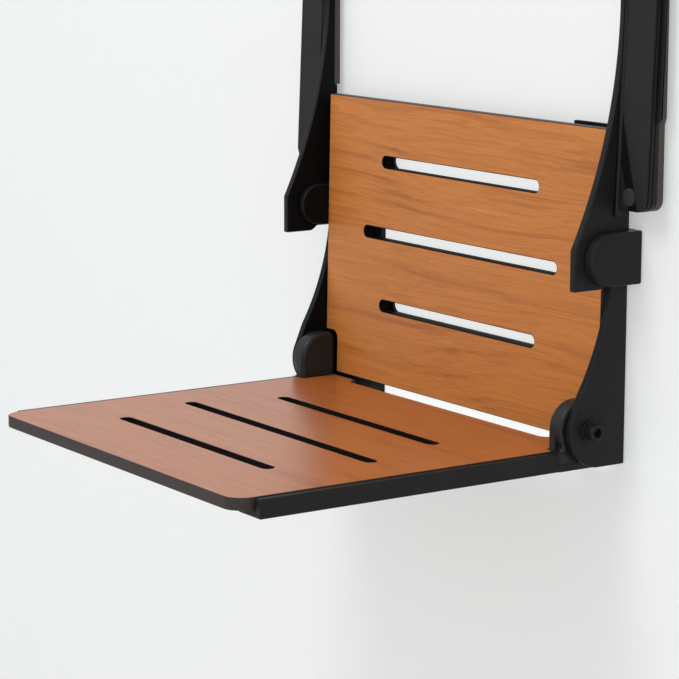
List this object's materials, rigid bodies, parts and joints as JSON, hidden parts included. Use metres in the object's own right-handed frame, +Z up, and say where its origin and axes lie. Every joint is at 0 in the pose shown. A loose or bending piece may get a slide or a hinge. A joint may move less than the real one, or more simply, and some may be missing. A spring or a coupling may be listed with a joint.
{
  "type": "wall-mounted folding shower seat",
  "caption": "Wall-mounted shower seat: slotted wood-look seat that folds up, matching backrest, steel side brackets and flip-up padded arms.",
  "frame": {"origin": "middle of the four wall bolt holes, on the wall plane", "axes": "+Y into the wall, +X to the right as a person faces the wall, +Z up; seat down and arms raised at rest"},
  "size_m": [0.6054, 0.438, 0.5497],
  "materials": {
    "laminate": "satin wood-grain laminate on a dark core",
    "black_metal": "matt black powder coat",
    "bolt_metal": "black oxide",
    "screw_steel": "plain stainless steel",
    "black_plastic": "matt black moulding",
    "pad_rubber": "soft matt black",
    "bearing_plastic": "natural bearing plastic"
  },
  "bodies": {
    "wall_frame": {"side_plate_left": "black_metal", "side_plate_right": "black_metal", "wall_flange_left": "black_metal", "wall_flange_right": "black_metal", "top_tab": "black_metal", "hinge_bolt_left": "bolt_metal", "hinge_bolt_right": "bolt_metal", "head_washer_left": "bolt_metal", "head_washer_right": "bolt_metal", "thrust_washer_left": "bearing_plastic", "thrust_washer_right": "bearing_plastic", "seat_stop_left": "black_metal", "seat_stop_right": "black_metal", "back_panel": "laminate", "back_tray": "black_metal", "back_batten_left": "black_metal", "back_batten_right": "black_metal", "tray_screw_left_1": "screw_steel", "tray_screw_left_2": "screw_steel", "tray_screw_right_1": "screw_steel", "tray_screw_right_2": "screw_steel", "pivot_housing_left": "black_metal", "pivot_housing_right": "black_metal", "pivot_pin_left": "screw_steel", "pivot_pin_right": "screw_steel"},
    "seat": {"seat_panel": "laminate", "seat_rail_left": "black_metal", "seat_rail_right": "black_metal", "cross_bar_front": "black_metal", "cross_bar_rear": "black_metal", "hinge_ear_left": "black_metal", "hinge_ear_right": "black_metal", "hinge_bush_left": "bearing_plastic", "hinge_bush_right": "bearing_plastic", "seat_screw_left_1": "screw_steel", "seat_screw_left_2": "screw_steel", "seat_screw_left_3": "screw_steel", "seat_screw_right_1": "screw_steel", "seat_screw_right_2": "screw_steel", "seat_screw_right_3": "screw_steel"},
    "arm_left": {"arm_web_left": "black_metal", "arm_plate_left": "black_plastic", "arm_core_left": "black_plastic", "arm_pad_left": "pad_rubber", "arm_cap_left": "pad_rubber", "arm_bush_left": "bearing_plastic", "arm_washer_left": "bearing_plastic"},
    "arm_right": {"arm_web_right": "black_metal", "arm_plate_right": "black_plastic", "arm_core_right": "black_plastic", "arm_pad_right": "pad_rubber", "arm_cap_right": "pad_rubber", "arm_bush_right": "bearing_plastic", "arm_washer_right": "bearing_plastic"}
  },
  "joints": [
    {"name": "seat_fold", "type": "hinge", "parent": "wall_frame", "child": "seat", "pos_m": [0, -0.045, -0.13], "axis": [-1, 0, 0], "range_deg": [0, 90]},
    {"name": "arm_left_fold", "type": "hinge", "parent": "wall_frame", "child": "arm_left", "pos_m": [-0.2503, -0.0363, 0.0387], "axis": [1, 0, 0], "range_deg": [0, 90]},
    {"name": "arm_right_fold", "type": "hinge", "parent": "wall_frame", "child": "arm_right", "pos_m": [0.2503, -0.0363, 0.0387], "axis": [1, 0, 0], "range_deg": [0, 90]}
  ]
}
